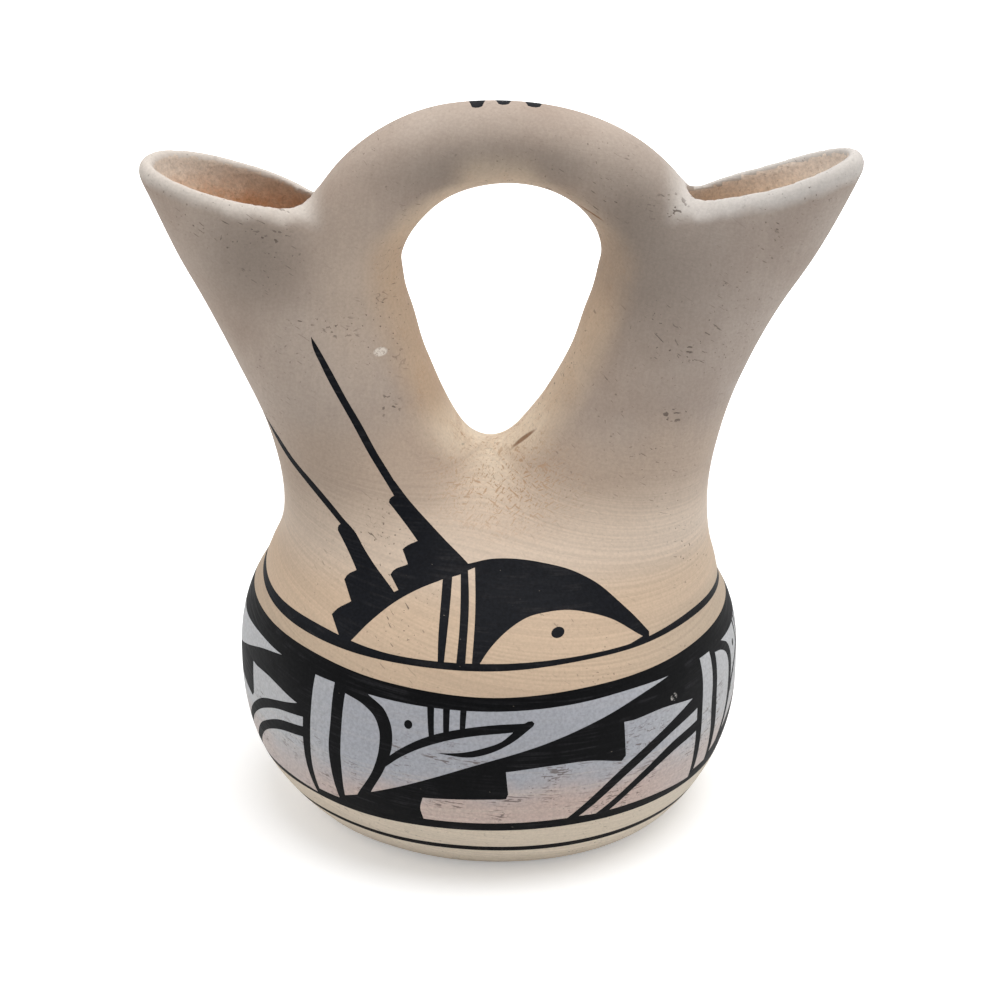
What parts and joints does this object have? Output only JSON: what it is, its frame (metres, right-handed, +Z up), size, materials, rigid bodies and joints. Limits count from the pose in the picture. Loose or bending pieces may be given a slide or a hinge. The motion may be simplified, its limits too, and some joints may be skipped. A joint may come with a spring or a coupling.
{
  "type": "wedding vase",
  "caption": "Two-spouted pottery vase with a round belly, two flaring spouts that share one hollow and an arched handle between them.",
  "frame": {"origin": "centre of the flat base, on the surface that the vase stands on", "axes": "+Z up along the body's axis, +X towards the right spout, +Y away from the viewer, through the handle's gap"},
  "size_m": [0.1906, 0.1388, 0.1997],
  "materials": {
    "bare_clay": "unpainted fired earthenware, matte and slightly gritty",
    "painted_band": "lavender-grey wash with black painted ornament on buff slip, matte",
    "buff_slip": "stone-polished buff slip, soft satin, with fine brush streaks"
  },
  "bodies": {
    "root": {"base_disc": "bare_clay", "belly_wall": "painted_band", "shoulder_wall": "buff_slip", "left_waist": "buff_slip", "right_waist": "buff_slip", "left_neck": "buff_slip", "right_neck": "buff_slip", "left_lip": "buff_slip", "right_lip": "buff_slip", "handle": "buff_slip"}
  },
  "joints": []
}
